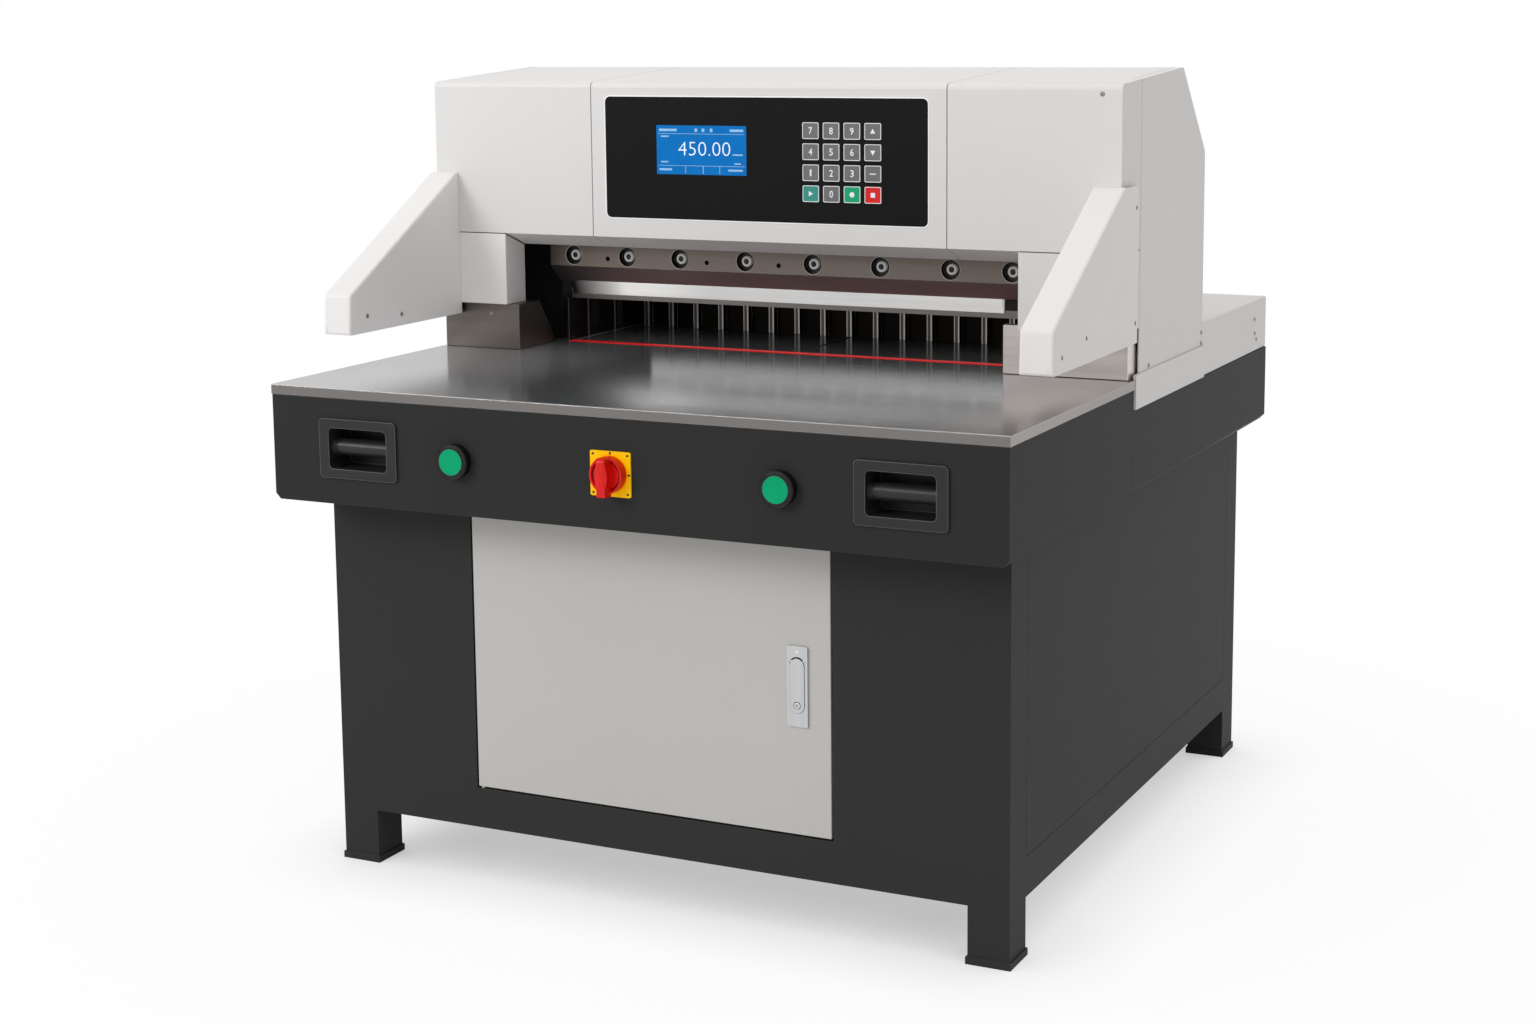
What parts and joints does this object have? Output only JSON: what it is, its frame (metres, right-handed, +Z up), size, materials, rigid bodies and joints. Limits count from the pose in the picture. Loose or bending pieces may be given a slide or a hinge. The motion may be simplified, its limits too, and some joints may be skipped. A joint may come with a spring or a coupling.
{
  "type": "guillotine paper cutter",
  "caption": "Floor-standing guillotine paper cutter: steel table, bridge head with slanting knife and clamp, programmed back gauge, keypad, two-hand cut buttons and a cabinet.",
  "frame": {"origin": "on the floor, under the middle of the bounding box", "axes": "+Z up, +X to the operator's right, +Y from the operator towards the back of the machine"},
  "size_m": [1.4, 1.5526, 1.4342],
  "materials": {
    "white_paint": "satin powder coat",
    "charcoal_paint": "satin powder coat",
    "door_paint": "satin powder coat",
    "cast_paint": "painted cast iron and steel",
    "ground_steel": "ground and lightly brushed",
    "stainless": "brushed sheet",
    "blade_steel": "polished bevel",
    "gauge_metal": "dark ground steel",
    "latch_metal": "satin die casting",
    "motor_paint": "blue enamel",
    "black_plastic": "fine grained black",
    "green_plastic": "smooth",
    "red_plastic": "smooth",
    "yellow_plastic": "smooth",
    "display": "clear cover over a blue display",
    "key_grey": "smooth",
    "key_teal": "smooth"
  },
  "bodies": {
    "machine": {"cabinet_frame": "charcoal_paint", "side_panel_left": "charcoal_paint", "side_panel_right": "charcoal_paint", "front_apron": "charcoal_paint", "rear_skirt": "charcoal_paint", "table_plate": "ground_steel", "cutting_stick": "red_plastic", "portal_frame": "cast_paint", "head_cover_left": "white_paint", "head_cover_center": "white_paint", "head_cover_right": "white_paint", "column_cover_left": "white_paint", "column_cover_right": "white_paint", "head_rear_cover": "white_paint", "rear_table_cover": "white_paint", "column_sleeve_left": "stainless", "column_sleeve_right": "stainless", "guard_arm_left": "white_paint", "guard_arm_right": "white_paint", "control_panel": "black_plastic", "display_window": "display", "switch_plate": "yellow_plastic", "cut_button_bezel_left": "black_plastic", "cut_button_bezel_right": "black_plastic", "handle_recess_left": "black_plastic", "handle_recess_right": "black_plastic", "oil_tank": "cast_paint", "pump_motor": "motor_paint", "knife_cylinder": "cast_paint", "clamp_cylinder": "cast_paint", "gauge_motor": "black_plastic"},
    "door": {"cabinet_door": "door_paint", "latch_housing": "latch_metal"},
    "latch_handle": {"latch_handle": "latch_metal"},
    "lock": {"latch_plug": "blade_steel", "latch_cam": "ground_steel"},
    "knife": {"knife_carrier": "ground_steel", "blade": "blade_steel"},
    "clamp": {"clamp_beam": "cast_paint"},
    "back_gauge": {"back_gauge": "gauge_metal"},
    "lead_screw": {"lead_screw": "ground_steel"},
    "switch_knob": {"power_switch_knob": "red_plastic"},
    "cut_button_left": {"cut_button_left": "green_plastic"},
    "cut_button_right": {"cut_button_right": "green_plastic"},
    "key_r1c1": {"key_r1c1": "key_grey"},
    "key_r1c2": {"key_r1c2": "key_grey"},
    "key_r1c3": {"key_r1c3": "key_grey"},
    "key_r1c4": {"key_r1c4": "key_grey"},
    "key_r2c1": {"key_r2c1": "key_grey"},
    "key_r2c2": {"key_r2c2": "key_grey"},
    "key_r2c3": {"key_r2c3": "key_grey"},
    "key_r2c4": {"key_r2c4": "key_grey"},
    "key_r3c1": {"key_r3c1": "key_grey"},
    "key_r3c2": {"key_r3c2": "key_grey"},
    "key_r3c3": {"key_r3c3": "key_grey"},
    "key_r3c4": {"key_r3c4": "key_grey"},
    "key_r4c1": {"key_r4c1": "key_teal"},
    "key_r4c2": {"key_r4c2": "key_grey"},
    "key_r4c3": {"key_r4c3": "green_plastic"},
    "key_r4c4": {"key_r4c4": "red_plastic"}
  },
  "joints": [
    {"name": "knife_stroke", "type": "slide", "parent": "machine", "child": "knife", "axis": [0.342, 0, -0.9397], "range_m": [0, 0.0997]},
    {"name": "clamp_stroke", "type": "slide", "parent": "machine", "child": "clamp", "axis": [0, 0, -1], "range_m": [0, 0.0844]},
    {"name": "back_gauge_slide", "type": "slide", "parent": "machine", "child": "back_gauge", "axis": [0, 1, 0], "range_m": [-0.178, 0.277]},
    {"name": "lead_screw_spin", "type": "hinge", "parent": "machine", "child": "lead_screw", "pos_m": [0, -0.0055, 0.848], "axis": [0, 1, 0], "range_deg": [-6410, 9975]},
    {"name": "door_hinge", "type": "hinge", "parent": "machine", "child": "door", "pos_m": [-0.35, -0.6177, 0.43], "axis": [0, 0, -1], "range_deg": [0, 110]},
    {"name": "latch_handle_swing", "type": "hinge", "parent": "door", "child": "latch_handle", "pos_m": [0.277, -0.6254, 0.4746], "axis": [-1, 0, 0], "range_deg": [0, 60]},
    {"name": "lock_turn", "type": "hinge", "parent": "door", "child": "lock", "pos_m": [0.277, -0.6274, 0.3997], "axis": [0, -1, 0], "range_deg": [0, 90]},
    {"name": "power_switch_turn", "type": "hinge", "parent": "machine", "child": "switch_knob", "pos_m": [-0.006, -0.7387, 0.79], "axis": [0, 1, 0], "range_deg": [0, 90]},
    {"name": "cut_button_left_press", "type": "slide", "parent": "machine", "child": "cut_button_left", "axis": [0, 1, 0], "range_m": [0, 0.005], "stiffness_N_per_m": 400},
    {"name": "cut_button_right_press", "type": "slide", "parent": "machine", "child": "cut_button_right", "axis": [0, 1, 0], "range_m": [0, 0.005], "stiffness_N_per_m": 400},
    {"name": "key_r1c1_press", "type": "slide", "parent": "machine", "child": "key_r1c1", "axis": [0, 1, 0], "range_m": [0, 0.0012], "stiffness_N_per_m": 300},
    {"name": "key_r1c2_press", "type": "slide", "parent": "machine", "child": "key_r1c2", "axis": [0, 1, 0], "range_m": [0, 0.0012], "stiffness_N_per_m": 300},
    {"name": "key_r1c3_press", "type": "slide", "parent": "machine", "child": "key_r1c3", "axis": [0, 1, 0], "range_m": [0, 0.0012], "stiffness_N_per_m": 300},
    {"name": "key_r1c4_press", "type": "slide", "parent": "machine", "child": "key_r1c4", "axis": [0, 1, 0], "range_m": [0, 0.0012], "stiffness_N_per_m": 300},
    {"name": "key_r2c1_press", "type": "slide", "parent": "machine", "child": "key_r2c1", "axis": [0, 1, 0], "range_m": [0, 0.0012], "stiffness_N_per_m": 300},
    {"name": "key_r2c2_press", "type": "slide", "parent": "machine", "child": "key_r2c2", "axis": [0, 1, 0], "range_m": [0, 0.0012], "stiffness_N_per_m": 300},
    {"name": "key_r2c3_press", "type": "slide", "parent": "machine", "child": "key_r2c3", "axis": [0, 1, 0], "range_m": [0, 0.0012], "stiffness_N_per_m": 300},
    {"name": "key_r2c4_press", "type": "slide", "parent": "machine", "child": "key_r2c4", "axis": [0, 1, 0], "range_m": [0, 0.0012], "stiffness_N_per_m": 300},
    {"name": "key_r3c1_press", "type": "slide", "parent": "machine", "child": "key_r3c1", "axis": [0, 1, 0], "range_m": [0, 0.0012], "stiffness_N_per_m": 300},
    {"name": "key_r3c2_press", "type": "slide", "parent": "machine", "child": "key_r3c2", "axis": [0, 1, 0], "range_m": [0, 0.0012], "stiffness_N_per_m": 300},
    {"name": "key_r3c3_press", "type": "slide", "parent": "machine", "child": "key_r3c3", "axis": [0, 1, 0], "range_m": [0, 0.0012], "stiffness_N_per_m": 300},
    {"name": "key_r3c4_press", "type": "slide", "parent": "machine", "child": "key_r3c4", "axis": [0, 1, 0], "range_m": [0, 0.0012], "stiffness_N_per_m": 300},
    {"name": "key_r4c1_press", "type": "slide", "parent": "machine", "child": "key_r4c1", "axis": [0, 1, 0], "range_m": [0, 0.0012], "stiffness_N_per_m": 300},
    {"name": "key_r4c2_press", "type": "slide", "parent": "machine", "child": "key_r4c2", "axis": [0, 1, 0], "range_m": [0, 0.0012], "stiffness_N_per_m": 300},
    {"name": "key_r4c3_press", "type": "slide", "parent": "machine", "child": "key_r4c3", "axis": [0, 1, 0], "range_m": [0, 0.0012], "stiffness_N_per_m": 300},
    {"name": "key_r4c4_press", "type": "slide", "parent": "machine", "child": "key_r4c4", "axis": [0, 1, 0], "range_m": [0, 0.0012], "stiffness_N_per_m": 300}
  ],
  "couplings": [
    {"joint": "lead_screw_spin", "follows": "back_gauge_slide", "rad_per_m": 628.32}
  ]
}
